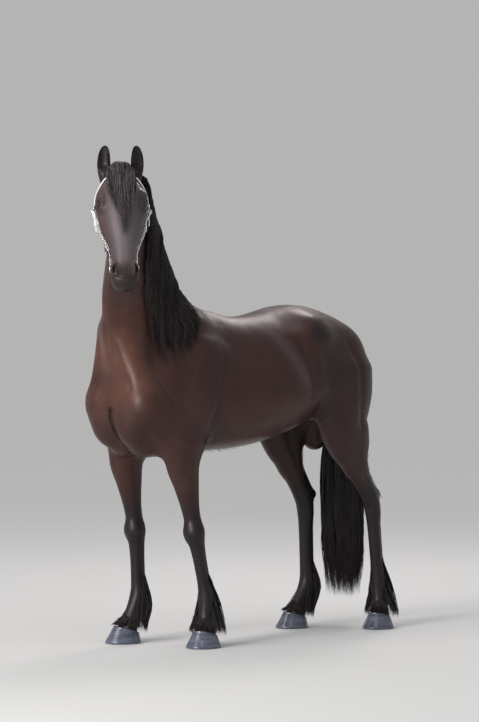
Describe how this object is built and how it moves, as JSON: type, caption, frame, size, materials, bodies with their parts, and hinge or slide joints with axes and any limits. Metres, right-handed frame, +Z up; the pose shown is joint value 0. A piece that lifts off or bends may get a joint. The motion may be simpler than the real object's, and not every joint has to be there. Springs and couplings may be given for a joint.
{
  "type": "friesian horse",
  "caption": "Life-size museum model of a standing friesian horse with its head high and turned to its left, long mane, full tail, feathered legs and a show bridle.",
  "frame": {"origin": "middle of the underside of the bounding box, on the floor between the hooves", "axes": "-X forward along the trunk, -Y towards the horse's left side, +Z up"},
  "size_m": [1.9814, 0.7232, 2.3302],
  "materials": {
    "coat": "short glossy dark reddish-brown coat",
    "leg_coat": "short satin black coat",
    "horn": "oiled slate-grey horn",
    "hair": "long black hair with brown tips",
    "eye": "wet dark brown",
    "strap": "white satin",
    "chain_metal": "polished"
  },
  "bodies": {
    "root": {"head": "coat", "neck": "coat", "torso": "coat", "ear_left": "coat", "ear_right": "coat", "leg_fore_left": "leg_coat", "leg_fore_right": "leg_coat", "leg_hind_left": "leg_coat", "leg_hind_right": "leg_coat", "hoof_fore_left": "horn", "hoof_fore_right": "horn", "hoof_hind_left": "horn", "hoof_hind_right": "horn", "mane": "hair", "forelock": "hair", "tail": "hair", "feather_fore_left": "hair", "feather_fore_right": "hair", "feather_hind_left": "hair", "feather_hind_right": "hair", "eye_left": "eye", "eye_right": "eye", "bridle_browband": "strap", "bridle_crown": "strap", "bridle_cheek_left": "strap", "bridle_cheek_right": "strap", "bridle_ribbons_left": "strap", "bridle_ribbons_right": "strap", "bridle_rosette_left": "chain_metal", "bridle_rosette_right": "chain_metal", "bridle_chain_left": "chain_metal", "bridle_chain_right": "chain_metal", "bridle_ring_left": "chain_metal", "bridle_ring_right": "chain_metal", "bridle_chin_chain": "chain_metal"}
  },
  "joints": []
}
